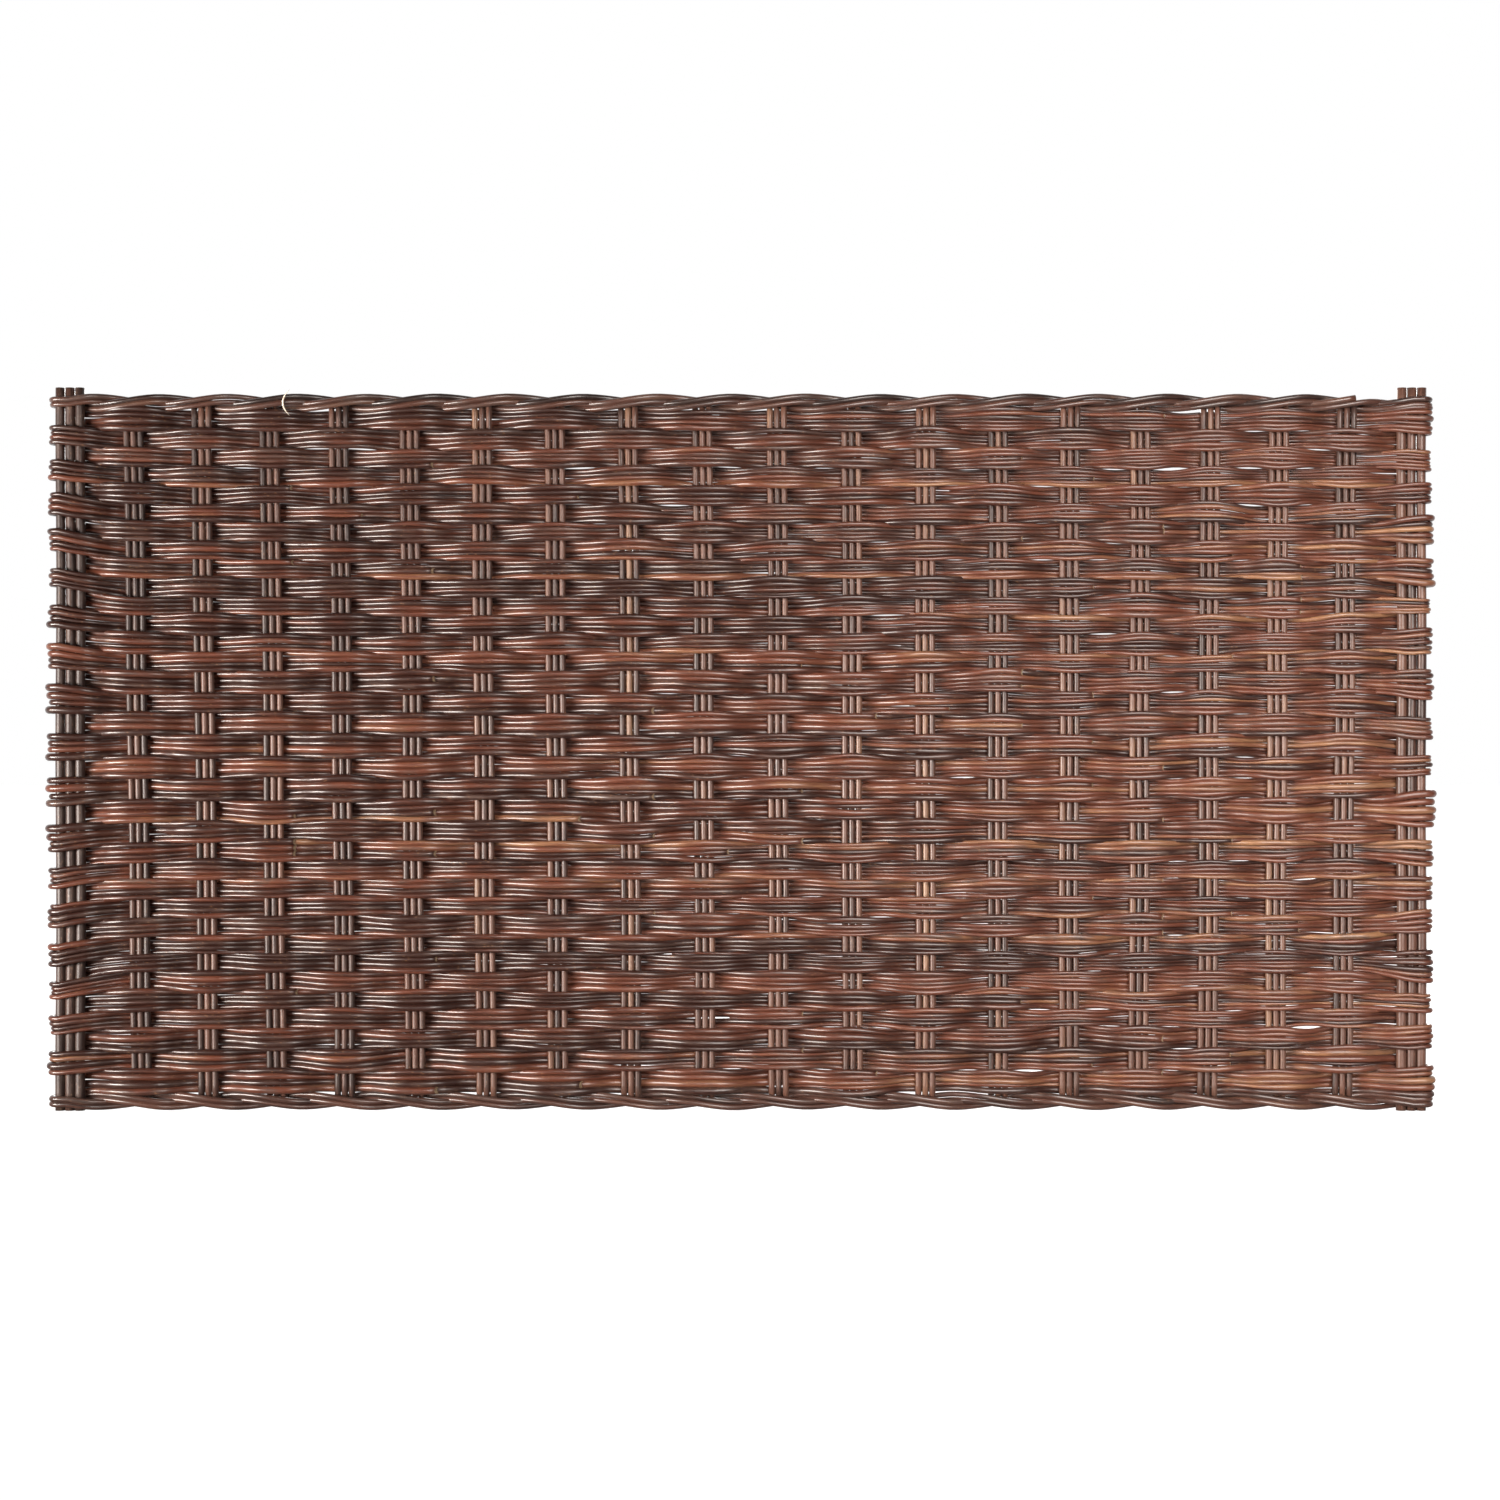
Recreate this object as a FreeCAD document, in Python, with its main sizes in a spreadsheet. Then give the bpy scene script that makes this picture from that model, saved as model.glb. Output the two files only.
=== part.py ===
import FreeCAD, Part
import os
import Sketcher

# A woven willow hurdle: upright stakes, each a bunch of rods, with flattened bunches of weavers
# passing in front of one stake and behind the next, and a pair of twisted strands along the
# bottom and the top edge. The panel stands upright on its end stakes: X runs along its width,
# Y from its front to its back and Z upwards. The origin is on the ground below its middle.

doc = FreeCAD.newDocument("willow_hurdle")

# Driving dimensions in millimetres, and the counts of the weave.
SIZES = {
    "stake_count": 20,
    "stake_spacing": 92.95,
    "stake_drift": 14.5,
    "rods_per_stake": 3,
    "stake_rod": 9.2,
    "end_rod": 13,
    "stake_inset": 10,
    "end_stake_rise": 7,
    "foot_rows": 3,
    "lower_rows": 10,
    "band_rows": 8,
    "upper_rows": 14,
    "thick_row_pitch": 28,
    "thin_row_pitch": 24.4,
    "edge_pitch": 25.4,
    "row_gap": 0.4,
    "bunch_thickness": 8.2,
    "bunch_flat": 17,
    "seat_clearance": 0.3,
    "tip_gap": 4,
}
sheet = doc.addObject("Spreadsheet::Sheet", "Sizes")
for line, (alias, number) in enumerate(SIZES.items(), start=1):
    sheet.set(f"A{line}", str(number))
    sheet.setAlias(f"A{line}", alias)
doc.recompute()

stake_count = int(sheet.stake_count)
rods_per_stake = int(sheet.rods_per_stake)
last_stake = stake_count - 1

# Rows from the ground up, by the rods that they are woven from: thick rods at the foot and in a
# band at mid height, thin ones below and above that band.
row_pitches = ["Sizes.thick_row_pitch"] * int(sheet.foot_rows)
row_pitches += ["Sizes.thin_row_pitch"] * int(sheet.lower_rows)
row_pitches += ["Sizes.thick_row_pitch"] * int(sheet.band_rows)
row_pitches += ["Sizes.thin_row_pitch"] * int(sheet.upper_rows)
row_count = len(row_pitches)

# Lengths that follow from the driving dimensions, each with one formula.
layout = doc.addObject("App::VarSet", "Layout")


def derive(name, formula):
    """Keep a formula's value under a name that sketches and placements can use."""
    layout.addProperty("App::PropertyFloat", name)
    layout.setExpression(name, formula)


# The stakes stand closer together towards both ends: they drift outwards by a sine over the width.
for stake in range(stake_count):
    derive(
        f"stake_{stake}",
        f"({stake} - (Sizes.stake_count - 1) / 2) * Sizes.stake_spacing"
        f" - Sizes.stake_drift * sin(360 * {stake} / (Sizes.stake_count - 1))",
    )

# A bunch bears on the outer rods of the stakes: its middle line keeps this far from a rod's centre.
derive("outer_rod", "(Sizes.rods_per_stake - 1) / 2 * Sizes.stake_rod")
derive("seat", "(Sizes.stake_rod + Sizes.bunch_thickness) / 2 + Sizes.seat_clearance")
derive("end_seat", "(Sizes.end_rod + Sizes.bunch_thickness) / 2 + Sizes.seat_clearance")
derive("end_half", "Sizes.rods_per_stake / 2 * Sizes.end_rod")
derive("wrap_reach", "Layout.end_half + Sizes.seat_clearance + Sizes.bunch_thickness / 2")

# Depth of the weave at each stake: the run between two stakes is a tangent to the outer rods of
# both, and the run that leads off an end stake is a tangent from that stake's edge to the next rod.
for stake in range(1, last_stake - 1):
    run = f"(Layout.stake_{stake + 1} - Layout.stake_{stake})"
    derive(
        f"run_depth_{stake}",
        f"Layout.seat / sqrt((1 - 2 * Layout.outer_rod / {run})^2 - (2 * Layout.seat / {run})^2)",
    )
derive("lead_run", "Layout.stake_1 - Layout.stake_0 - Layout.end_half")
derive("lead_reach", "Layout.lead_run - Layout.outer_rod")
derive(
    "lead_angle",
    "atan(Layout.end_seat / Layout.lead_reach)"
    " + asin(Layout.seat / sqrt(Layout.lead_reach^2 + Layout.end_seat^2))",
)
derive("lead_depth", "Layout.lead_run * tan(Layout.lead_angle) - Layout.end_seat")
for stake in range(1, last_stake):
    left_depth = "Layout.lead_depth" if stake == 1 else f"Layout.run_depth_{stake - 1}"
    right_depth = "Layout.lead_depth" if stake == last_stake - 1 else f"Layout.run_depth_{stake}"
    derive(f"depth_{stake}", f"max({left_depth}; {right_depth})")
derive(
    "tip_depth",
    "Layout.end_seat + (Layout.depth_1 + Layout.end_seat) / Layout.lead_run"
    " * (Layout.end_half - Sizes.tip_gap / 2)",
)

# Heights: the seams between the rows, from the twisted pair at the foot to the pair at the top.
derive("seam_0", "Sizes.edge_pitch")
for row, pitch in enumerate(row_pitches, start=1):
    derive(f"seam_{row}", f"Layout.seam_{row - 1} + {pitch}")
derive("panel_height", f"Layout.seam_{row_count} + Sizes.edge_pitch")
derive("strand_height", "Sizes.edge_pitch / 2 - Sizes.row_gap")
derive("strand_rise", "(Layout.strand_height + Sizes.row_gap) / 2")
doc.recompute()


def value(formula):
    """Number that a formula stands for now."""
    return float(layout.evalExpression(formula))


def line_sketch(body, role, name, corners, closed):
    """Sketch of straight lines from corner to corner, every coordinate bound to its formula."""
    sketch = body.newObject("Sketcher::SketchObject", name)
    plane = next(item for item in body.Origin.OriginFeatures if item.Role == role)
    sketch.AttachmentSupport = [(plane, "")]
    sketch.MapMode = "FlatFace"
    points = [FreeCAD.Vector(value(across), value(up), 0) for across, up in corners]
    ends = points[1:] + points[:1]
    line_count = len(points) if closed else len(points) - 1
    lines = [Part.LineSegment(points[i], ends[i]) for i in range(line_count)]
    sketch.addGeometry(lines, False)
    joints = [(i, (i + 1) % line_count) for i in range(line_count if closed else line_count - 1)]
    limits = [Sketcher.Constraint("Coincident", first, 2, second, 1) for first, second in joints]
    formulas = []
    for i, corner in enumerate(corners):
        line, end = (i, 1) if i < line_count else (i - 1, 2)
        for direction, formula in zip(("DistanceX", "DistanceY"), corner):
            formulas.append((len(limits), formula))
            limits.append(Sketcher.Constraint(direction, -1, 1, line, end, value(formula)))
    sketch.addConstraint(limits)
    for index, formula in formulas:
        sketch.setExpression(f"Constraints[{index}]", formula)
    return sketch


# Stakes: rods side by side, bound into one bunch by the weave. The two end stakes are of thicker
# rods and reach the ground and past the top edge; the others end inside the twisted strands.
def stake_outline(rod):
    """Front ridges of the rods from left to right, then the back ridges from right to left.

    Each rod has six faces: its ridge stands half its thickness out, and the valleys half of that.
    """
    ridges = [(f"-Sizes.rods_per_stake / 2 * {rod}", f"-{rod} / 4")]
    for i in range(rods_per_stake):
        ridges.append((f"({i} - (Sizes.rods_per_stake - 1) / 2) * {rod}", f"-{rod} / 2"))
        ridges.append((f"({i} + 1 - Sizes.rods_per_stake / 2) * {rod}", f"-{rod} / 4"))
    turned = [(f"-({across})", f"-({up})") for across, up in ridges]
    return ridges + turned


def make_stake(stake):
    """Pad of the outline of the rods, standing at its place along the width."""
    is_end = stake in (0, last_stake)
    body = doc.addObject("PartDesign::Body", f"stake_{stake + 1:02d}")
    outline = line_sketch(
        body, "XY_Plane", "rods", stake_outline("Sizes.end_rod" if is_end else "Sizes.stake_rod"), True
    )
    pad = body.newObject("PartDesign::Pad", "bunch")
    pad.Profile = outline
    inner_length = "Layout.panel_height - 2 * Sizes.stake_inset"
    pad.setExpression("Length", "Layout.panel_height + Sizes.end_stake_rise" if is_end else inner_length)
    body.setExpression("Placement.Base.x", f"Layout.stake_{stake}")
    body.setExpression("Placement.Base.z", "0" if is_end else "Sizes.stake_inset")
    return body


# Route of a bunch in plan, shared by the weavers and the twisted strands.
def end_route(stake, outward, in_front):
    """Corners at an end stake from the tip inwards: round its outer side, or a tip behind it."""
    centre = f"Layout.stake_{stake}"
    if not in_front:
        return [(f"{centre} - {outward} * Sizes.tip_gap / 2", "Layout.tip_depth")]
    return [
        (f"{centre} + {outward} * Sizes.tip_gap / 2", "Layout.end_seat"),
        (f"{centre} + {outward} * Layout.wrap_reach", "Layout.end_seat"),
        (f"{centre} + {outward} * Layout.wrap_reach", "-Layout.end_seat"),
        (f"{centre} - {outward} * Layout.end_half", "-Layout.end_seat"),
    ]


def plan_route(phase):
    """Corners from end to end: in front of every second stake, starting with stake number phase.

    The route starts at a tip that is wrapped round an end stake, where it runs along X.
    """
    left = end_route(0, -1, phase == 0)
    right = end_route(last_stake, 1, (last_stake - phase) % 2 == 0)
    middle = []
    for stake in range(1, last_stake):
        side = "-" if (stake - phase) % 2 == 0 else ""
        middle.append((f"Layout.stake_{stake}", f"{side}Layout.depth_{stake}"))
    route = left + middle + right[::-1]
    return route if phase == 0 else route[::-1]


# Weavers: each row is a bunch of rods pressed flat, with a flat face that narrows to the seams
# above and below. Rows in front of the even and of the odd stakes alternate.
def bunch_outline(middle, pitch):
    """Six corners of a flattened bunch about its middle line, as tall as its row less the gap."""
    half = "Sizes.bunch_thickness / 2"
    shoulder = "Sizes.bunch_flat / 2"
    tip = f"({pitch} - Sizes.row_gap) / 2"
    return [
        (middle, tip),
        (f"{middle} - {half}", shoulder),
        (f"{middle} - {half}", f"-{shoulder}"),
        (middle, f"-{tip}"),
        (f"{middle} + {half}", f"-{shoulder}"),
        (f"{middle} + {half}", shoulder),
    ]


def make_weaver(row):
    """Pipe of the flattened outline along the route of its row, at the height of its row."""
    body = doc.addObject("PartDesign::Body", f"weaver_{row:02d}")
    route = plan_route(row % 2)
    path = line_sketch(body, "XY_Plane", "route", route, False)
    start_along, start_across = route[0]
    outline = bunch_outline(start_across, row_pitches[row - 1])
    section = line_sketch(body, "YZ_Plane", "section", outline, True)
    section.setExpression("AttachmentOffset.Base.z", start_along)
    pipe = body.newObject("PartDesign::AdditivePipe", "bunch")
    pipe.Profile = section
    pipe.Spine = (path, [])
    pipe.Transition = "Right corner"
    body.setExpression("Placement.Base.z", f"(Layout.seam_{row - 1} + Layout.seam_{row}) / 2")
    return body


# Twisted strands: two along each edge. They change places at every stake, one in front and one
# behind, and cross in between. On its way to the back a strand takes the panel's outer side: over
# the other one along the top edge, and under it along the bottom edge.
def strand_stations(phase, outward):
    """Middle line of a strand: the plan route, with a station where it crosses the middle plane."""
    route = [(value(along), value(across)) for along, across in plan_route(phase)]
    stations = []
    for (x, y), (next_x, next_y) in zip(route, route[1:]):
        stations.append(FreeCAD.Vector(x, y, 0))
        if y * next_y < 0 and x != next_x:
            to_back = (next_y - y) * (next_x - x) > 0
            crossing = x + (next_x - x) * y / (y - next_y)
            rise = layout.strand_rise * outward * (1 if to_back else -1)
            stations.append(FreeCAD.Vector(crossing, 0, rise))
    stations.append(FreeCAD.Vector(*route[-1], 0))
    return stations


def strand_section(station, before, after):
    """Four-sided section, upright along the edge and mitred where the strand turns a corner."""
    before_side = FreeCAD.Vector(before.y - station.y, station.x - before.x, 0)
    after_side = FreeCAD.Vector(station.y - after.y, after.x - station.x, 0)
    turns = before.x == station.x or after.x == station.x
    if turns:
        across = before_side.normalize() + after_side.normalize()
    else:
        across = FreeCAD.Vector(0, 1 if after_side.y + before_side.y > 0 else -1, 0)
    half = across * (sheet.bunch_thickness / 2)
    up = FreeCAD.Vector(0, 0, layout.strand_height / 2)
    corners = [station + half, station + up, station - half, station - up]
    return Part.makePolygon(corners + corners[:1])


def make_strand(name, phase, outward, level):
    """Straight-sided loft through the sections of a strand, set at the height of its edge."""
    stations = strand_stations(phase, outward)
    before = [stations[0] * 2 - stations[1]] + stations[:-1]
    after = stations[1:] + [stations[-1] * 2 - stations[-2]]
    sections = [strand_section(*trio) for trio in zip(stations, before, after)]
    strand = doc.addObject("Part::Feature", name)
    strand.Shape = Part.makeLoft(sections, True, True)
    strand.Placement = FreeCAD.Placement(FreeCAD.Vector(0, 0, level), FreeCAD.Rotation())
    return strand


pieces = [make_stake(stake) for stake in range(stake_count)]
pieces += [make_weaver(row) for row in range(1, row_count + 1)]
edges = [
    ("bottom_edge", -1, value("Sizes.edge_pitch / 2")),
    ("top_edge", 1, value("Layout.panel_height - Sizes.edge_pitch / 2")),
]
for edge, outward, level in edges:
    for phase in (0, 1):
        pieces.append(make_strand(f"{edge}_strand_{phase + 1}", phase, outward, level))
doc.recompute()

# Every object and every solid is sound before anything is written.
for item in doc.Objects:
    if "Invalid" in item.State or "Error" in item.State:
        raise RuntimeError(f"{item.Name} did not build")
for piece in pieces:
    if piece.Shape.isNull() or not piece.Shape.isValid() or len(piece.Shape.Solids) != 1:
        raise RuntimeError(f"{piece.Label} is not a sound solid")

os.makedirs("parts", exist_ok=True)
for piece in pieces:
    piece.Shape.exportStep(f"parts/{piece.Label}.step")
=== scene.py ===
import bpy
import numpy as np
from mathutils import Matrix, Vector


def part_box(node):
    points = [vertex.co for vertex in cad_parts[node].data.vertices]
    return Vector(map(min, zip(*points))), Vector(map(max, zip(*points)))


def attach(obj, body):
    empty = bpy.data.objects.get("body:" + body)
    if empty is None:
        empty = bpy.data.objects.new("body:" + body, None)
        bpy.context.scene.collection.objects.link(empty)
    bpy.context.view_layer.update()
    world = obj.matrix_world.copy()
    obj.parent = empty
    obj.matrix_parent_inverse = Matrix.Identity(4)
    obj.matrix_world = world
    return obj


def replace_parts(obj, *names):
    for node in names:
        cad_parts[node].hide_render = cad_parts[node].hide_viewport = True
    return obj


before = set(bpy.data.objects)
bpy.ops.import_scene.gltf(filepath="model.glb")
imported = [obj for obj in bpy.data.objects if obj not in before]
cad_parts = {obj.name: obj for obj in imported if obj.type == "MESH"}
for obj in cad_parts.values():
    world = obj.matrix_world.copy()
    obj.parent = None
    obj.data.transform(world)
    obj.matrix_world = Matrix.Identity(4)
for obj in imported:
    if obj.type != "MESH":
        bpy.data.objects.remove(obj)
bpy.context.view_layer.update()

# Stakes: twenty uprights, each three willow rods that stand side by side with their bark on.
# Only the weave binds them. The two end stakes are of thicker rods and are sawn square at the
# foot and just above the top edge; the others end inside the twisted edges and lean a little.
RODS_PER_STAKE = 3
ROD_SIDES = 10
STAKE_STATIONS = 41
STAKE_SEED = 100
INNER_STAKE_FILL = 0.91
STAKE_ROD_RANGE = (0.97, 1.02)
STAKE_TAPER = (1.02, 0.98)
STAKE_BOW = 0.0006
STAKE_BOW_DEPTH = 0.0003
STAKE_WAVES = (9, 16)
WAVE_START = (0, 6.3)
PATTERN_SHIFT = 5

# Lean at the top against the foot, from the first inner stake to the last one. The stakes are
# coloured darkest at the left end, partly darker rods and partly painted shade, and are dullest
# there;
# tone and dullness no longer change from the eleventh stake on.
STAKE_LEAN = (-0.012, 0.006)
STAKES_OF_CHANGE = (0, 1, 10)
STAKE_TONES_AND_SHADE = (0.06, 0.2, 0.45)
STAKE_DULLNESS = (0.12, 0.12, 0.04)
STAKE_TONE_SPREAD = 0.1
STAKE_GREY = (0, 0.3)

stake_nodes = sorted(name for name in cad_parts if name.startswith("stake_"))
stake_low, stake_high = (np.array(corners) for corners in zip(*map(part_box, stake_nodes)))
stake_x = (stake_low[:, 0] + stake_high[:, 0]) / 2
stake_rod = (stake_high[:, 0] - stake_low[:, 0]) / RODS_PER_STAKE
stake_half = stake_rod / 2
last_stake = len(stake_nodes) - 1
stake_numbers = np.arange(last_stake + 1)
panel_top = stake_high[:, 2].max()
stake_fill = np.ones(last_stake + 1)
stake_fill[1:-1] = INNER_STAKE_FILL
stake_lean = np.zeros(last_stake + 1)
stake_lean[1:-1] = np.linspace(*STAKE_LEAN, last_stake - 1)
# Painted shade: the stakes' tone is kept darkest at the left end, where they stand in shade.
stake_tone_and_shade = np.interp(stake_numbers, STAKES_OF_CHANGE, STAKE_TONES_AND_SHADE)
stake_dullness = np.interp(stake_numbers, STAKES_OF_CHANGE, STAKE_DULLNESS)


def stakes_at(level):
    """Places of the stakes along the width at a height: each stake's own place, and its lean
    times the share of the panel's height that the level lies above the middle."""
    return stake_x + stake_lean * (level / panel_top - 0.5)


def lay_rod(path, radius, reference, draw, tint, cuts=(0.0, 0.0)):
    """One rod as rings about its line: centre + radius * (cos a * side + sin a * up).

    Side is square to the rod and to the reference axis, and up is square to both. A slanting cut
    moves the points of an end ring along the rod by the slope times their distance to the back,
    so that the cut faces the front. Each point keeps its place on the unbent rod as well,
    (radius cos a, radius sin a, length so far), shifted so that no two rods are alike, and the
    tint: tone, greyness and dullness, each one number for the rod or one for every ring.
    """
    along = np.gradient(path, axis=0)
    along /= np.linalg.norm(along, axis=1, keepdims=True)
    side = np.cross(along, reference)
    side /= np.linalg.norm(side, axis=1, keepdims=True)
    up = np.cross(side, along)
    turn = np.arange(ROD_SIDES) * 2 * np.pi / ROD_SIDES
    spokes = np.cos(turn)[:, None] * side[:, None] + np.sin(turn)[:, None] * up[:, None]
    spokes *= radius[:, None, None]
    rings = path[:, None] + spokes
    rings[0] -= cuts[0] * spokes[0, :, 1:2] * along[0]
    rings[-1] += cuts[1] * spokes[-1, :, 1:2] * along[-1]
    length = np.append(0, np.cumsum(np.linalg.norm(np.diff(path, axis=0), axis=1)))
    across = radius[:, None] * np.cos(turn)
    upward = radius[:, None] * np.sin(turn)
    place = np.stack(np.broadcast_arrays(across, upward, length[:, None]), axis=-1)
    place = place + draw.uniform(-PATTERN_SHIFT, PATTERN_SHIFT, 3)
    tones = np.zeros(place.shape)
    for part, value in enumerate(tint):
        tones[..., part] = np.reshape(value, (-1, 1))
    return {"rings": rings, "place": place, "tint": tones}


STRIP_STATIONS = 40
STRIP_MARGIN = 0.03
STRIP_FILL = 0.94
CUT_FILL = 0.4


def bind_rods(name, rods, materials):
    """Piece made of rods: quads between neighbouring rings, and a flat cut across each end.

    The map for baking lays each rod out in strips of a fixed number of rings, one above the
    other, and all the cuts as small wheels in a last strip.
    """
    turn = np.arange(ROD_SIDES)
    after = (turn + 1) % ROD_SIDES
    quads, ends, walls = [], [], []
    first = strip = 0
    for rod in rods:
        run = np.arange(len(rod["rings"]) - 1)[:, None]
        ring = first + run * ROD_SIDES
        beyond = ring + ROD_SIDES
        quads.append(np.stack([ring + turn, beyond + turn, beyond + after, ring + after], -1))
        ends += [first + turn, first + len(run) * ROD_SIDES + turn[::-1]]
        left = np.broadcast_to(run % STRIP_STATIONS / STRIP_STATIONS, quads[-1].shape[:2])
        right = left + 1 / STRIP_STATIONS
        low = strip + run // STRIP_STATIONS + (STRIP_MARGIN + STRIP_FILL * turn / ROD_SIDES)
        high = low + STRIP_FILL / ROD_SIDES
        corners = [(left, low), (right, low), (right, high), (left, high)]
        walls.append(np.stack([np.stack(corner, -1) for corner in corners], 2).reshape(-1, 2))
        first += len(rod["rings"]) * ROD_SIDES
        strip += -(-len(run) // STRIP_STATIONS)
    quads = np.concatenate([quad.reshape(-1, 4) for quad in quads])
    ends = np.array(ends)
    wheel = turn * 2 * np.pi / ROD_SIDES
    cut_u = (np.arange(len(ends))[:, None] + 0.5 + CUT_FILL * np.cos(wheel)) / len(ends)
    cut_v = strip + 0.5 + CUT_FILL * np.broadcast_to(np.sin(wheel), cut_u.shape)
    sheet = np.concatenate(walls + [np.stack([cut_u, cut_v], -1).reshape(-1, 2)])
    sheet[:, 1] /= strip + 1

    mesh = bpy.data.meshes.new(name)
    mesh.vertices.add(first)
    mesh.vertices.foreach_set("co", np.concatenate([rod["rings"].ravel() for rod in rods]))
    corners = np.concatenate([quads.ravel(), ends.ravel()])
    mesh.loops.add(len(corners))
    mesh.loops.foreach_set("vertex_index", corners.astype(np.int32))
    starts = np.append(np.arange(len(quads)) * 4, quads.size + np.arange(len(ends)) * ROD_SIDES)
    mesh.polygons.add(len(starts))
    mesh.polygons.foreach_set("loop_start", starts.astype(np.int32))
    is_cut = np.arange(len(starts)) >= len(quads)
    mesh.polygons.foreach_set("material_index", is_cut.astype(np.int32))
    mesh.polygons.foreach_set("use_smooth", ~is_cut)
    for attribute in ("place", "tint"):
        layer = mesh.attributes.new("bark_" + attribute, "FLOAT_VECTOR", "POINT")
        layer.data.foreach_set("vector", np.concatenate([rod[attribute].ravel() for rod in rods]))
    mesh.uv_layers.new(name="OFBake").uv.foreach_set("vector", sheet.astype(np.float32).ravel())
    for material in materials:
        mesh.materials.append(material)
    mesh.update(calc_edges=True)
    mesh.validate()

    piece = bpy.data.objects.new(name, mesh)
    bpy.context.scene.collection.objects.link(piece)
    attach(piece, "root")
    return piece


PATCH_IN_TONE = 0.9
STREAK_IN_TONE = 0.7
TONE_BASE = -0.8
LENTICEL_SCALE = 240
LENTICEL_LENGTH = 0.55
LENTICEL_COLOUR = 0.4
LENTICEL_RELIEF = 0.3
MOTTLE_RELIEF = 0.5
BARK_ROUGHNESS = 0.21
STREAK_ROUGHNESS = 0.06
MOTTLE_ROUGHNESS = 0.12


def build_bark_group():
    """Node group for willow bark, read on the unbent rod.

    Streaks are noise drawn out along the rod, patches are slow noise, and lenticels are small dots
    at the middles of cells. Tone is the rod's own tone plus patches plus streaks; it leads from
    the deep colour over the red one to the tan one, and some rods turn grey in patches. Roughness
    is a satin one plus streaks, mottle and the rod's dullness.
    """
    group = bpy.data.node_groups.new("willow_bark", "ShaderNodeTree")
    for name in ("Place", "Tint"):
        group.interface.new_socket(name, in_out="INPUT", socket_type="NodeSocketVector")
    for name in ("Deep", "Red", "Tan", "Grey"):
        group.interface.new_socket(name, in_out="INPUT", socket_type="NodeSocketColor")
    group.interface.new_socket("Color", in_out="OUTPUT", socket_type="NodeSocketColor")
    group.interface.new_socket("Roughness", in_out="OUTPUT", socket_type="NodeSocketFloat")
    group.interface.new_socket("Height", in_out="OUTPUT", socket_type="NodeSocketFloat")
    nodes, link = group.nodes, group.links.new
    given = nodes.new("NodeGroupInput")
    result = nodes.new("NodeGroupOutput")
    tint = nodes.new("ShaderNodeSeparateXYZ")
    link(given.outputs["Tint"], tint.inputs[0])
    own_tone, greyness, dullness = tint.outputs

    def drawn_out(share):
        """Place on the rod with its length shortened, which draws a pattern out along the rod."""
        node = nodes.new("ShaderNodeVectorMath")
        node.operation = "MULTIPLY"
        node.inputs[1].default_value = (1, 1, share)
        link(given.outputs["Place"], node.inputs[0])
        return node.outputs[0]

    def noise(share, scale, detail):
        """Noise of a scale on the drawn-out place."""
        node = nodes.new("ShaderNodeTexNoise")
        node.inputs["Scale"].default_value = scale
        node.inputs["Detail"].default_value = detail
        link(drawn_out(share), node.inputs["Vector"])
        return node.outputs["Fac"]

    def sum_of(value, factor, base):
        """Base plus factor times value."""
        node = nodes.new("ShaderNodeMath")
        node.operation = "MULTIPLY_ADD"
        link(value, node.inputs[0])
        node.inputs[1].default_value = factor
        if isinstance(base, (int, float)):
            node.inputs[2].default_value = base
        else:
            link(base, node.inputs[2])
        return node.outputs[0]

    def between(value, low, high):
        """Smooth step from 0 at low to 1 at high."""
        node = nodes.new("ShaderNodeMapRange")
        node.interpolation_type = "SMOOTHSTEP"
        node.inputs["From Min"].default_value = low
        node.inputs["From Max"].default_value = high
        link(value, node.inputs["Value"])
        return node.outputs["Result"]

    def blended(factor, first, second):
        """First colour at a factor of 0, second at 1."""
        node = nodes.new("ShaderNodeMix")
        node.data_type = "RGBA"
        link(factor, node.inputs["Factor"])
        link(first, node.inputs["A"])
        link(second, node.inputs["B"])
        return node.outputs["Result"]

    def times(first, second):
        """Product of two values."""
        node = nodes.new("ShaderNodeMath")
        node.operation = "MULTIPLY"
        link(first, node.inputs[0])
        link(second, node.inputs[1])
        return node.outputs[0]

    streak = noise(share=0.05, scale=700, detail=3)
    mottle = noise(share=0.3, scale=120, detail=3)
    patch = noise(share=0.2, scale=30, detail=2)
    cells = nodes.new("ShaderNodeTexVoronoi")
    cells.inputs["Scale"].default_value = LENTICEL_SCALE
    link(drawn_out(LENTICEL_LENGTH), cells.inputs["Vector"])
    lenticel = between(cells.outputs["Distance"], low=0.26, high=0.14)

    tone = sum_of(streak, STREAK_IN_TONE, sum_of(own_tone, 1.0, TONE_BASE))
    tone = sum_of(patch, PATCH_IN_TONE, tone)
    bark = blended(between(tone, low=0.1, high=0.55), given.outputs["Deep"], given.outputs["Red"])
    bark = blended(between(tone, low=0.5, high=1.0), bark, given.outputs["Tan"])
    greyed = times(between(mottle, low=0.4, high=0.65), greyness)
    bark = blended(greyed, bark, given.outputs["Grey"])
    dotted = times(lenticel, between(mottle, low=0.45, high=0.6))
    bark = blended(sum_of(dotted, LENTICEL_COLOUR, 0), bark, given.outputs["Tan"])
    link(bark, result.inputs["Color"])
    roughness = sum_of(streak, STREAK_ROUGHNESS, sum_of(dullness, 1.0, BARK_ROUGHNESS))
    link(sum_of(mottle, MOTTLE_ROUGHNESS, roughness), result.inputs["Roughness"])
    relief = sum_of(lenticel, LENTICEL_RELIEF, sum_of(mottle, MOTTLE_RELIEF, streak))
    link(relief, result.inputs["Height"])
    return group


BARK_BUMP = 0.06
BARK_DEPTH = 0.0006


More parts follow.
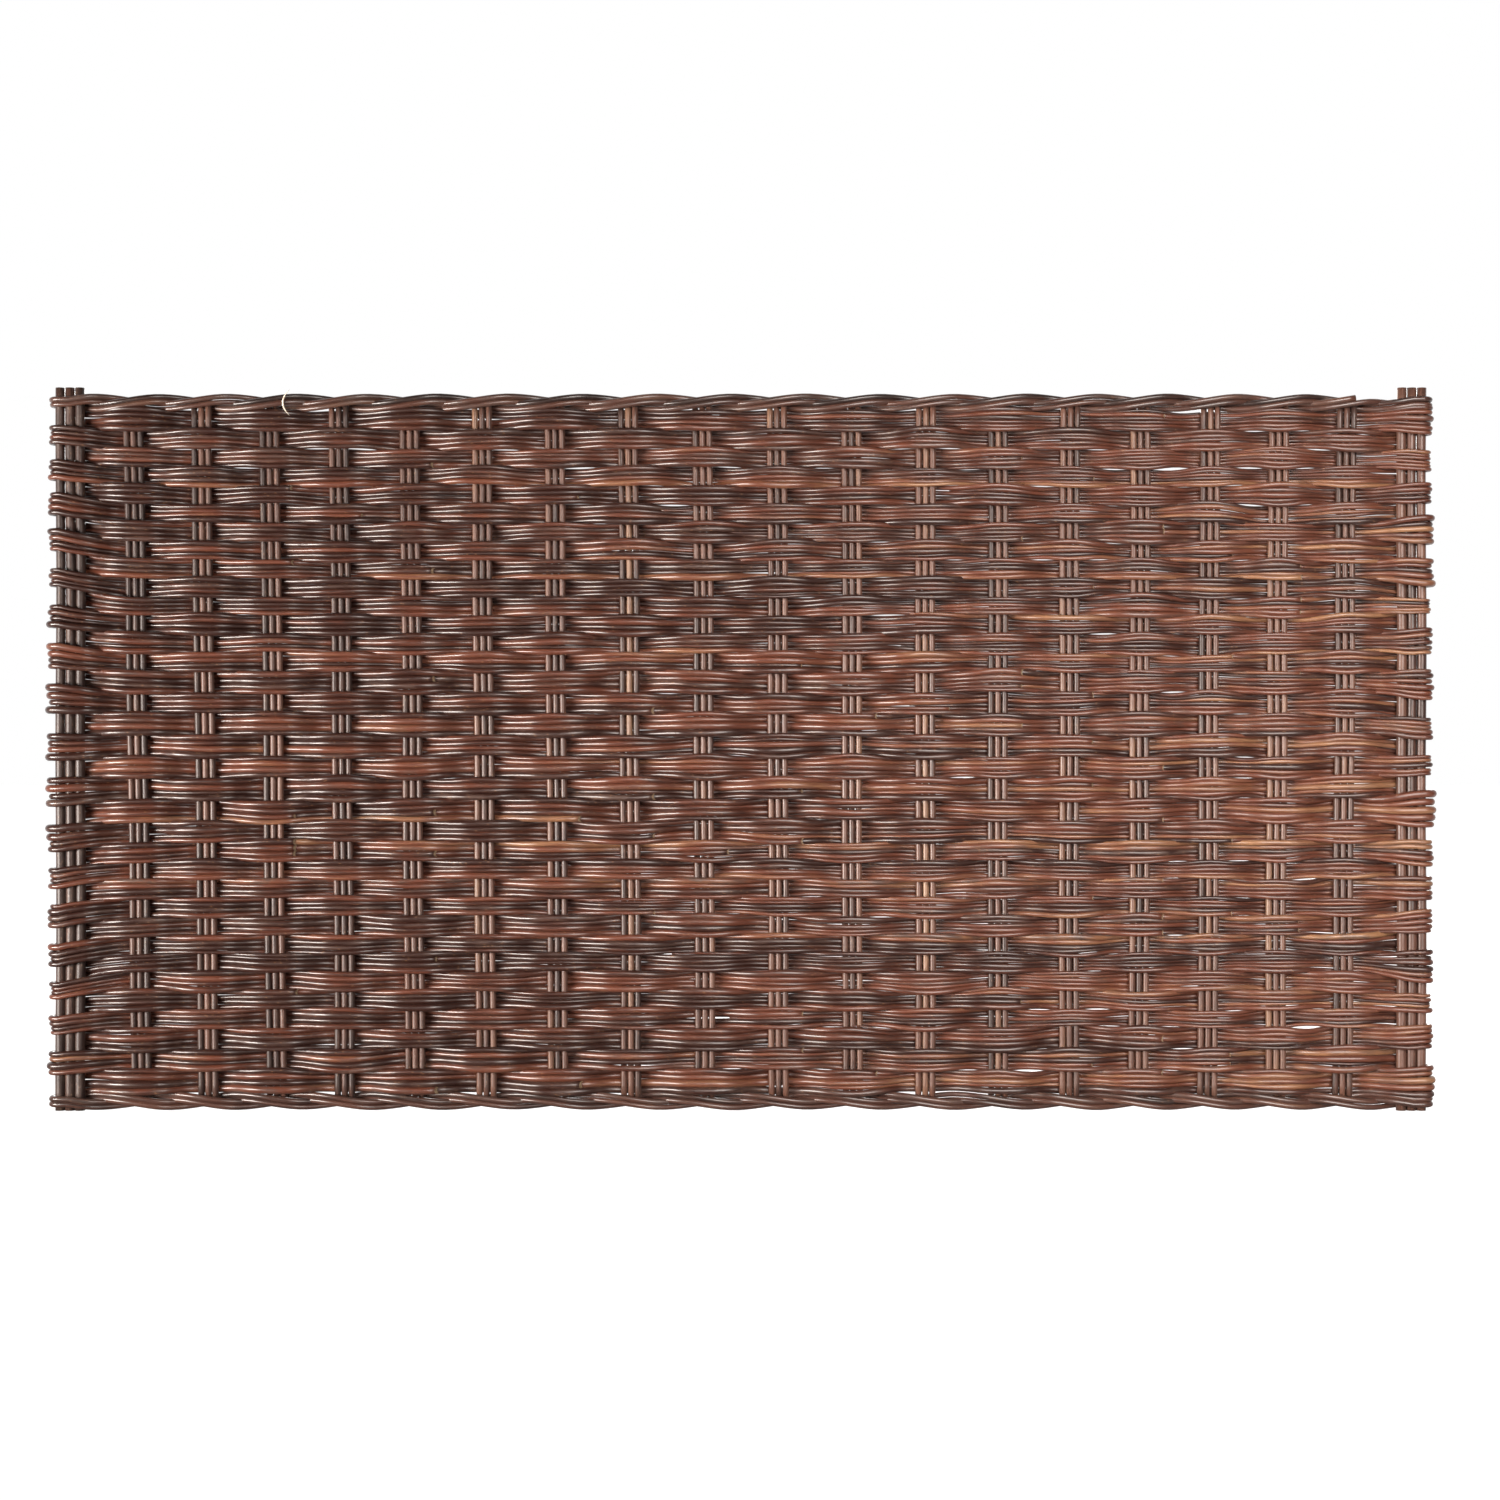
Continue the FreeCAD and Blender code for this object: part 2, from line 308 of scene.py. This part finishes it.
def bark_material(name, shine, deep, red, tan, grey):
    """Satin bark from the shared group, read from the rod's own place and tint."""
    material = bpy.data.materials.new(name)
    material.use_nodes = True
    nodes, link = material.node_tree.nodes, material.node_tree.links.new
    shader = nodes["Principled BSDF"]
    shader.inputs["Specular IOR Level"].default_value = shine
    bark = nodes.new("ShaderNodeGroup")
    bark.node_tree = bark_group
    for socket in ("Place", "Tint"):
        attribute = nodes.new("ShaderNodeAttribute")
        attribute.attribute_name = "bark_" + socket.lower()
        link(attribute.outputs["Vector"], bark.inputs[socket])
    for socket, colour in (("Deep", deep), ("Red", red), ("Tan", tan), ("Grey", grey)):
        bark.inputs[socket].default_value = (*colour, 1)
    bump = nodes.new("ShaderNodeBump")
    bump.inputs["Strength"].default_value = BARK_BUMP
    bump.inputs["Distance"].default_value = BARK_DEPTH
    link(bark.outputs["Height"], bump.inputs["Height"])
    link(bump.outputs["Normal"], shader.inputs["Normal"])
    link(bark.outputs["Color"], shader.inputs["Base Color"])
    link(bark.outputs["Roughness"], shader.inputs["Roughness"])
    return material


GRAIN_SCALE = 420
GRAIN_DETAIL = 3
GRAIN_LIMITS = (0.35, 0.65)
SAWN_ROUGHNESS = 0.75


def cut_material(name, wood, heart):
    """Pale bare wood: fine noise between the darker heart's colour and the wood's."""
    material = bpy.data.materials.new(name)
    material.use_nodes = True
    nodes, link = material.node_tree.nodes, material.node_tree.links.new
    shader = nodes["Principled BSDF"]
    shader.inputs["Roughness"].default_value = SAWN_ROUGHNESS
    place = nodes.new("ShaderNodeTexCoord")
    grain = nodes.new("ShaderNodeTexNoise")
    grain.inputs["Scale"].default_value = GRAIN_SCALE
    grain.inputs["Detail"].default_value = GRAIN_DETAIL
    link(place.outputs["Object"], grain.inputs["Vector"])
    colours = nodes.new("ShaderNodeValToRGB")
    for stop, limit, colour in zip(colours.color_ramp.elements, GRAIN_LIMITS, (heart, wood)):
        stop.position = limit
        stop.color = (*colour, 1)
    link(grain.outputs["Fac"], colours.inputs["Fac"])
    link(colours.outputs["Color"], shader.inputs["Base Color"])
    return material


bark_group = build_bark_group()
stake_bark = bark_material(
    "stake_bark",
    shine=0.4,
    deep=(0.032, 0.018, 0.015),
    red=(0.120, 0.056, 0.039),
    tan=(0.260, 0.150, 0.088),
    grey=(0.115, 0.078, 0.062),
)
sawn_wood = cut_material("sawn_wood", wood=(0.38, 0.27, 0.17), heart=(0.16, 0.10, 0.06))


def stand_stake(stake):
    """Three upright rods side by side, each bowed a little: place + bow * sin(waves * height)."""
    draw = np.random.default_rng(STAKE_SEED + stake)
    level = np.linspace(stake_low[stake, 2], stake_high[stake, 2], STAKE_STATIONS)
    wave = level * draw.uniform(*STAKE_WAVES) + draw.uniform(*WAVE_START)
    middle = stakes_at(level[:, None])[:, stake]
    rods = []
    for place in range(RODS_PER_STAKE):
        x = middle + (place - (RODS_PER_STAKE - 1) / 2) * stake_rod[stake]
        path = np.stack([x + STAKE_BOW * np.sin(wave), STAKE_BOW_DEPTH * np.cos(wave), level], 1)
        taper = np.linspace(*STAKE_TAPER, STAKE_STATIONS) * draw.uniform(*STAKE_ROD_RANGE)
        radius = stake_half[stake] * stake_fill[stake] * taper
        tone = stake_tone_and_shade[stake] + draw.normal(0, STAKE_TONE_SPREAD)
        tint = (tone, draw.uniform(*STAKE_GREY), stake_dullness[stake])
        rods.append(lay_rod(path, radius, (1, 0, 0), draw, tint))
    name = stake_nodes[stake]
    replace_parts(bind_rods(name + "_rods", rods, (stake_bark, sawn_wood)), name)


for stake in stake_numbers:
    stand_stake(stake)

# Weavers: thirty-five rows, each a bunch of four to six rods laid side by side and woven in front
# of one stake and behind the next. The bunch fans out over a stake and is squeezed between stakes.
# At one end it is bent round the end stake; at the other its tips lie behind that stake.
STATIONS_PER_STAKE = 9
WRAP_STATIONS = 9
SWING_FLATNESS = 1.3
TAIL_GAP = 0.002
SEAT_GAP = 0.0003
SEAM_SEED = 290
ROW_SEED = 300

# Rods of a row: how many run the whole width, after which stakes one or two more join them, and how
# their thicknesses vary. A joining rod grows over some stakes and is laid once it is thick enough.
BASE_RODS = 4
FIRST_JOIN = (6, 12)
SECOND_JOIN = (9, 16)
SECOND_JOIN_CHANCE = 0.3
JOIN_GROWTH = 2.5
JOIN_LAID_AFTER = 0.9
SHARE_RANGE = (0.82, 1.15)
SHARE_WAVE = 0.18
SHARE_WAVES = (0.5, 1.3)
THICKEST_ROD = 0.0105

# Places of the rods. A pair named for both ends holds the value at the left end and at the right one.
SPREAD_AT_ENDS = (1.22, 1.3)
SQUEEZE_AT_ENDS = (0.06, 0.16)
SQUEEZE_RANGE = (0.5, 1.5)
SAG_AT_ENDS = (0.0002, 0.0007)
DRIFT_AT_ENDS = (0.0012, 0.0018)
TREMBLE_AT_ENDS = (0.0003, 0.0006)
TREMBLE_WAVES = (2, 5)
FAN_AT_STAKE = 0.9
END_FAN = 0.12
BOTTOM_ROW_GROWTH = 0.0018
TOP_ROW_GROWTH = 0.0035
LEFT_END_SPREAD = 0.011
RIGHT_END_SPREAD = 0.005
RIGHT_END_WAVE = 0.9
END_SPREAD_REACH = 0.055

# Bark from the butt at the left to the tip at the right, its tone darker at the left and lighter at
# the right, partly for butt and tip and partly as painted shade and light. Slanting cuts a little
# after some stakes, where a rod ends and the next one begins, tucked in behind it.
BUTT_AND_SHADE_TONE = 0.2
TIP_AND_LIGHT_TONE = 0.47
TIP_DULLNESS = 0.08
TIP_CURVE = 1.7
ROD_TONE_SPREAD = 0.16
ROD_GREY = (0.2, 0.25)
UNCUT_STAKES = 2
CUT_CHANCE = 0.06
CUT_PLACE = 0.34
CUT_SLOPE = 1.0
TUCKED_LENGTH = 0.15
TUCKED_DEPTH = 1.4
FEWEST_STATIONS = 6

row_nodes = sorted(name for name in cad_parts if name.startswith("weaver_"))
row_low, row_high = (np.array(corners) for corners in zip(*map(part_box, row_nodes)))
row_level = (row_low[:, 2] + row_high[:, 2]) / 2
seam_level = np.append(row_low[:, 2], row_high[-1, 2])
seam_level[[0, -1]] += -BOTTOM_ROW_GROWTH, TOP_ROW_GROWTH
seam_drift = np.random.default_rng(SEAM_SEED).normal(0, 1, (len(seam_level), last_stake + 1))
seam_drift *= np.linspace(*DRIFT_AT_ENDS, last_stake + 1)


def weave_route(phase):
    """Route of a rod in plan, as stake number, shift along the width, and direction of its reach.

    Between the ends the reach swings from front to back by the flattened cosine
    -tanh(f * cos(pi * (stake number - phase))) / tanh(f). At the end stake that the rod passes in
    front of, half a turn about the outer rod follows, and a tail behind that stake.
    """
    number = np.linspace(0, last_stake, last_stake * STATIONS_PER_STAKE + 1)
    swing = np.cos(np.pi * (number - phase))
    flat = -np.tanh(SWING_FLATNESS * swing) / np.tanh(SWING_FLATNESS)
    route = np.stack([number, 0 * number, 0 * number, flat], 1)
    outward = -1 if phase == 0 else 1
    end = 0 if phase == 0 else last_stake
    turn = np.linspace(0, np.pi, WRAP_STATIONS)
    at_end = np.full(WRAP_STATIONS, end)
    on_outer_rod = np.full(WRAP_STATIONS, outward * stake_rod[end])
    wrap = np.stack([at_end, on_outer_rod, outward * np.sin(turn), -np.cos(turn)], 1)
    wrap = np.append(wrap, [[end, outward * TAIL_GAP, 0, 1]], axis=0)
    return np.concatenate([wrap[::-1], route] if phase == 0 else [route, wrap]).T


def smooth_step(value):
    """0 below 0, 1 above 1, and f * f * (3 - 2 f) between."""
    share = np.clip(value, 0, 1)
    return share * share * (3 - 2 * share)


def eased(values, number):
    """Values at the stakes carried from one to the next by a smooth step."""
    left = np.clip(np.floor(number).astype(int), 0, len(values) - 2)
    return values[left] + (values[left + 1] - values[left]) * smooth_step(number - left)


def between_ends(at_ends, number):
    """Straight change from the value at the first stake to the value at the last one."""
    return np.interp(number, (0, last_stake), at_ends)


def seam_line(seam, number, near_left, near_right):
    """Level of the seam between two rows: its own level, its drift carried from stake to stake, and
    near the ends of the panel a slope that fades with the distance from the end stake."""
    left_end = -LEFT_END_SPREAD * np.sin(2 * np.pi * seam_level[seam] / panel_top)
    right_end = RIGHT_END_SPREAD * np.sin(seam * RIGHT_END_WAVE)
    level = seam_level[seam] + eased(seam_drift[seam], number)
    return level + left_end * near_left + right_end * near_right


def choose_rods(draw):
    """Stakes after which the rods of a row begin, from the lowest rod to the highest: 0 for those
    that run the whole width, and a drawn number for those that join somewhere above the lowest."""
    starts = [0.0] * BASE_RODS
    starts.insert(draw.integers(1, len(starts) + 1), draw.uniform(*FIRST_JOIN))
    if draw.random() < SECOND_JOIN_CHANCE:
        starts.insert(draw.integers(1, len(starts) + 1), draw.uniform(*SECOND_JOIN))
    return starts


def share_height(starts, number, draw):
    """Share of the bunch's height for each rod, and the middle of that share from -1/2 to 1/2.

    A rod's share is its own thickness times (1 + wave * sin), grown from 0 by a smooth step where
    the rod joins, and divided by the sum of all the rods there.
    """
    shares = []
    for start in starts:
        wave = number * draw.uniform(*SHARE_WAVES) + draw.uniform(*WAVE_START)
        grown = smooth_step((number - start) / JOIN_GROWTH) if start else 1.0
        shares.append(draw.uniform(*SHARE_RANGE) * (1 + SHARE_WAVE * np.sin(wave)) * grown)
    shares = np.array(shares) / np.sum(shares, axis=0)
    return shares, np.cumsum(shares, axis=0) - shares / 2 - 0.5


weaver_bark = bark_material(
    "weaver_bark",
    shine=0.66,
    deep=(0.028, 0.010, 0.007),
    red=(0.118, 0.036, 0.020),
    tan=(0.270, 0.135, 0.066),
    grey=(0.084, 0.049, 0.038),
)


def weave_row(row):
    """Bunch of one row between two seams. Each rod takes its share of the bunch's height, up to the
    thickest rod.

    Level = middle of the seams + fan * height * middle of the rod's share + sag + tremble. The fan
    is a little closed over a stake, more so between stakes, and opens at the ends of the panel. Sag
    is a drawn length times sin(pi * stake number) squared, and tremble is a slow sine. Neighbours
    step aside to front and back by radius * sqrt(1 - fan * fan), so that the rods touch one another.
    Tone and dullness change from butt to tip with a power of the way along the row; the tone's
    darkening to the left and lightening to the right are partly painted shade and light.
    """
    draw = np.random.default_rng(ROW_SEED + row)
    phase = (row + 1) % 2
    number, shift, turned, reach = weave_route(phase)
    stakes = stakes_at(row_level[row])
    along = np.interp(number, stake_numbers, stakes) + shift
    half = np.interp(number, stake_numbers, stake_half)
    starts = choose_rods(draw)
    shares, middles = share_height(starts, number, draw)

    squeeze = np.linspace(*SQUEEZE_AT_ENDS, last_stake + 1)
    squeeze = squeeze * draw.uniform(*SQUEEZE_RANGE, last_stake + 1)
    midway = np.sin(np.pi * number) ** 2
    fan = FAN_AT_STAKE - eased(squeeze, number) * midway
    gap = np.clip(np.floor(number).astype(int), 0, last_stake - 1)
    sag = draw.normal(0, np.linspace(*SAG_AT_ENDS, last_stake))[gap] * midway
    near_left = np.exp((stakes[0] - along) / END_SPREAD_REACH)
    near_right = np.exp((along - stakes[-1]) / END_SPREAD_REACH)
    parted = fan + END_FAN * np.minimum(near_left + near_right, 1)
    under = seam_line(row, number, near_left, near_right)
    over = seam_line(row + 1, number, near_left, near_right)
    height = (over - under) * between_ends(SPREAD_AT_ENDS, number)

    # Painted shade and light: the tone darkens towards the left end and lightens towards the right.
    toward_right_end = (number / last_stake) ** TIP_CURVE
    tone = BUTT_AND_SHADE_TONE + (TIP_AND_LIGHT_TONE - BUTT_AND_SHADE_TONE) * toward_right_end
    dullness = TIP_DULLNESS * toward_right_end
    crossings = np.arange(phase, last_stake - 1, 2)
    rods = []
    for lane, start in enumerate(starts):
        radius = np.minimum(height * shares[lane], THICKEST_ROD) / 2
        aside = radius * np.sqrt(1 - fan ** 2)
        depth = half + radius + aside + SEAT_GAP
        tremble = np.sin(number * draw.uniform(*TREMBLE_WAVES) + draw.uniform(*WAVE_START))
        tremble = between_ends(TREMBLE_AT_ENDS, number) * tremble
        level = (under + over) / 2 + parted * height * middles[lane] + sag + tremble
        step = aside if lane % 2 else -aside
        path = np.stack([along + depth * turned, depth * reach + step, level], 1)
        inner = crossings[crossings > start + UNCUT_STAKES]
        breaks = inner[draw.random(len(inner)) < CUT_CHANCE] + CUT_PLACE
        laid_from = start + JOIN_LAID_AFTER if start else -1
        limits = np.concatenate([[laid_from], breaks, [last_stake + 1]])
        for begin, end in zip(limits, limits[1:]):
            part = (number > begin - TUCKED_LENGTH) & (number <= end)
            if part.sum() < FEWEST_STATIONS:
                continue
            tucked = smooth_step(1 - (number - begin + TUCKED_LENGTH) / (2 * TUCKED_LENGTH))
            tucked = TUCKED_DEPTH * radius * tucked
            line = path + (begin in breaks) * np.outer(tucked, (0, 1, 0))
            rod_tone = tone[part] + draw.normal(0, ROD_TONE_SPREAD)
            tint = (rod_tone, max(draw.normal(*ROD_GREY), 0), dullness[part])
            cuts = (0, CUT_SLOPE if end in breaks else 0)
            rods.append(lay_rod(line[part], radius[part], (0, 0, 1), draw, tint, cuts))
    name = row_nodes[row]
    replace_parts(bind_rods(name + "_rods", rods, (weaver_bark, sawn_wood)), name)


for row in range(len(row_nodes)):
    weave_row(row)

# Edge strands: two along the top and two along the bottom, each of two rods twisted together
# with the other strand. They change places at every stake, one in front and one behind, and on its
# way to the back a strand takes the outer side of the edge.
STRAND_RODS = 2
STRAND_SEED = 720
STRAND_SWING = 0.0047
STRAND_REACH = 0.0008
STRAND_ROD = 0.0074
STRAND_ROD_RANGE = (0.95, 1.05)
STRAND_ROD_WAVE = 0.06
STRAND_ROD_WAVES = (0.4, 0.9)
STRAND_PITCH = 0.95
STRAND_TREMBLE = 0.0003
STRAND_TREMBLE_WAVES = (1, 2)
STRAND_TONE = (0.4, 0.12)
STRAND_GREY = (0.25, 0.2)
EARLY_END = 18.2

edge_bark = bark_material(
    "edge_bark",
    shine=0.66,
    deep=(0.022, 0.012, 0.010),
    red=(0.080, 0.034, 0.024),
    tan=(0.190, 0.100, 0.056),
    grey=(0.075, 0.052, 0.044),
)


def twist_strand(edge, outward, phase, upper_end):
    """Rods of one strand, one above the other. The upper one may end before the last stake.

    With the angle t = pi * (stake number - phase), the level is middle + outward * swing * sin t
    plus the rod's own place in the strand, and the depth is the flattened cosine of t, as for the
    weavers. So the strand is level with the other one at the stakes and crosses it in between.
    """
    node = f"{edge}_strand_{phase + 1}"
    low, high = (np.array(corner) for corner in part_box(node))
    middle = (low[2] + high[2]) / 2
    draw = np.random.default_rng(STRAND_SEED + phase + 10 * outward)
    number, shift, turned, reach = weave_route(phase)
    along = np.interp(number, stake_numbers, stakes_at(middle)) + shift
    half = np.interp(number, stake_numbers, stake_half)
    swing = outward * STRAND_SWING * np.sin(np.pi * (number - phase))
    rods = []
    for rod in range(STRAND_RODS):
        wave = number * draw.uniform(*STRAND_ROD_WAVES) + draw.uniform(*WAVE_START)
        radius = STRAND_ROD / 2 * draw.uniform(*STRAND_ROD_RANGE)
        radius = radius * (1 + STRAND_ROD_WAVE * np.sin(wave))
        depth = half + radius + STRAND_REACH
        wave = number * draw.uniform(*STRAND_TREMBLE_WAVES) + draw.uniform(*WAVE_START)
        own_place = (rod - (STRAND_RODS - 1) / 2) * STRAND_ROD * STRAND_PITCH
        level = middle + swing + own_place + STRAND_TREMBLE * np.sin(wave)
        path = np.stack([along + depth * turned, depth * reach, level], 1)
        tint = (draw.normal(*STRAND_TONE), max(draw.normal(*STRAND_GREY), 0), 0)
        part = number <= (upper_end if rod == STRAND_RODS - 1 else last_stake)
        rods.append(lay_rod(path[part], radius[part], (0, 0, 1), draw, tint))
    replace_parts(bind_rods(node + "_rods", rods, (edge_bark, sawn_wood)), node)


for edge, outward in (("bottom_edge", -1), ("top_edge", 1)):
    for phase in (0, 1):
        ends_early = edge == "top_edge" and phase == 0
        twist_strand(edge, outward, phase, EARLY_END if ends_early else last_stake)

# Peeled fibre: a thin pale strip of wood that has come off a rod of the top edge. It stands before
# the edge near the left end, in the arc bulge * (t * t - 1/2), and is thickest at its middle.
FIBRE_PLACE = (-0.5965, -0.0142, 0.9303)
FIBRE_HEIGHT = 0.034
FIBRE_BULGE = 0.009
FIBRE_HALF = 0.0011
FIBRE_FULLNESS = 1.1
FIBRE_STATIONS = 13
FIBRE_SEED = 900
FIBRE_TINT = (0.5, 0.5, 0)

turn = np.linspace(-1, 1, FIBRE_STATIONS)
arc = np.stack([FIBRE_BULGE * (turn ** 2 - 0.5), 0 * turn, turn * FIBRE_HEIGHT / 2], 1)
thin = FIBRE_HALF * (FIBRE_FULLNESS - turn ** 2)
fibre_draw = np.random.default_rng(FIBRE_SEED)
fibre = lay_rod(arc + FIBRE_PLACE, thin, (1, 0, 0), fibre_draw, FIBRE_TINT)
peeled_wood = cut_material("peeled_wood", wood=(0.80, 0.74, 0.62), heart=(0.66, 0.58, 0.46))
bind_rods("peeled_fibre", [fibre], (peeled_wood, peeled_wood))

# Studio: a pale floor that stays white to the camera apart from the panel's shadow, a white
# surround, a wide low key lamp on the left, a soft fill on the right and one lamp behind. The
# camera stands square to the panel's middle.
FLOOR_SIZE = 60.0
FLOOR_GREY = (0.3, 0.3, 0.3, 1)
FLOOR_ROUGHNESS = 0.9
GLOW_NEAR = 0.88
GLOW_FAR = 1.0
GLOW_START = 1.3
GLOW_END = 3.2
WHITE = (1, 1, 1, 1)
SURROUND_LIGHT = 0.015
BEHIND_REACH = 0.5
FRAME_MIDDLE = (0.0119, 0.4745)
FRAME_WIDTH = 1.976
CAMERA_DISTANCE = 3.3


def seen_white(nodes, link, coordinate):
    """Mask of the rays that see the white background: camera rays, and those mirrored or transmitted
    rays that end behind the panel. Behind is a smooth step of the coordinate's Y up to the reach."""
    path = nodes.new("ShaderNodeLightPath")
    place = nodes.new("ShaderNodeTexCoord")
    parts = nodes.new("ShaderNodeSeparateXYZ")
    link(place.outputs[coordinate], parts.inputs[0])
    behind = nodes.new("ShaderNodeMapRange")
    behind.interpolation_type = "SMOOTHSTEP"
    behind.inputs["From Max"].default_value = BEHIND_REACH
    link(parts.outputs["Y"], behind.inputs["Value"])
    mask = path.outputs["Is Glossy Ray"]
    steps = (
        ("MAXIMUM", path.outputs["Is Transmission Ray"]),
        ("MULTIPLY", behind.outputs["Result"]),
        ("MAXIMUM", path.outputs["Is Camera Ray"]),
    )
    for operation, other in steps:
        joined = nodes.new("ShaderNodeMath")
        joined.operation = operation
        link(mask, joined.inputs[0])
        link(other, joined.inputs[1])
        mask = joined.outputs[0]
    return mask


side = FLOOR_SIZE / 2
floor_mesh = bpy.data.meshes.new("floor")
floor_corners = [(-side, -side, 0), (side, -side, 0), (side, side, 0), (-side, side, 0)]
floor_mesh.from_pydata(floor_corners, [], [(0, 1, 2, 3)])
floor = bpy.data.objects.new("floor", floor_mesh)
bpy.context.scene.collection.objects.link(floor)
paper = bpy.data.materials.new("white_paper")
paper.use_nodes = True
paper_nodes, paper_link = paper.node_tree.nodes, paper.node_tree.links.new
paper_shader = paper_nodes["Principled BSDF"]
paper_shader.inputs["Base Color"].default_value = FLOOR_GREY
paper_shader.inputs["Roughness"].default_value = FLOOR_ROUGHNESS
paper_shader.inputs["Emission Color"].default_value = WHITE
floor_place = paper_nodes.new("ShaderNodeTexCoord")
distance = paper_nodes.new("ShaderNodeVectorMath")
distance.operation = "LENGTH"
paper_link(floor_place.outputs["Object"], distance.inputs[0])
glow = paper_nodes.new("ShaderNodeMapRange")
glow.interpolation_type = "SMOOTHSTEP"
glow.inputs["From Min"].default_value = GLOW_START
glow.inputs["From Max"].default_value = GLOW_END
glow.inputs["To Min"].default_value = GLOW_NEAR
glow.inputs["To Max"].default_value = GLOW_FAR
paper_link(distance.outputs["Value"], glow.inputs["Value"])
seen_glow = paper_nodes.new("ShaderNodeMath")
seen_glow.operation = "MULTIPLY"
paper_link(seen_white(paper_nodes, paper_link, "Object"), seen_glow.inputs[0])
paper_link(glow.outputs["Result"], seen_glow.inputs[1])
paper_link(seen_glow.outputs[0], paper_shader.inputs["Emission Strength"])
floor_mesh.materials.append(paper)

world = bpy.data.worlds.new("white_surround")
bpy.context.scene.world = world
world.use_nodes = True
world_nodes, world_link = world.node_tree.nodes, world.node_tree.links.new
surround = world_nodes["Background"]
surround.inputs["Color"].default_value = WHITE
brightness = world_nodes.new("ShaderNodeMapRange")
brightness.inputs["To Min"].default_value = SURROUND_LIGHT
world_link(seen_white(world_nodes, world_link, "Generated"), brightness.inputs["Value"])
world_link(brightness.outputs["Result"], surround.inputs["Strength"])


def hang_lamp(name, place, target, size, power, spread, colour):
    """Soft rectangular lamp at a place, turned to face a target, with its light kept to a spread."""
    lamp = bpy.data.lights.new(name, "AREA")
    lamp.shape = "RECTANGLE"
    lamp.size, lamp.size_y = size
    lamp.energy = power
    lamp.spread = spread
    lamp.color = colour
    stand = bpy.data.objects.new(name, lamp)
    stand.location = place
    toward = Vector(target) - Vector(place)
    stand.rotation_euler = toward.to_track_quat("-Z", "Y").to_euler()
    bpy.context.scene.collection.objects.link(stand)


hang_lamp(
    "key_lamp",
    place=(-3.0, -2.1, 0.32),
    target=(0, 0, 0.45),
    size=(2.2, 0.5),
    power=175,
    spread=2.6,
    colour=(1, 0.93, 0.87),
)
hang_lamp(
    "fill_lamp",
    place=(1.35, -2.9, 1.1),
    target=(1.0, 0, 0.45),
    size=(2.4, 2.4),
    power=36,
    spread=1.1,
    colour=(1, 0.94, 0.89),
)
hang_lamp(
    "back_lamp",
    place=(0.5, 3.6, 1.8),
    target=(0, 0, 0.45),
    size=(3.0, 2.0),
    power=220,
    spread=3.1,
    colour=(1, 0.97, 0.95),
)

camera = bpy.data.cameras.new("camera")
camera.lens = camera.sensor_width * CAMERA_DISTANCE / FRAME_WIDTH
camera_stand = bpy.data.objects.new("camera", camera)
camera_stand.location = (FRAME_MIDDLE[0], -CAMERA_DISTANCE, FRAME_MIDDLE[1])
camera_stand.rotation_euler = (np.pi / 2, 0, 0)
bpy.context.scene.collection.objects.link(camera_stand)
bpy.context.scene.camera = camera_stand
bpy.context.scene.view_settings.view_transform = "Standard"
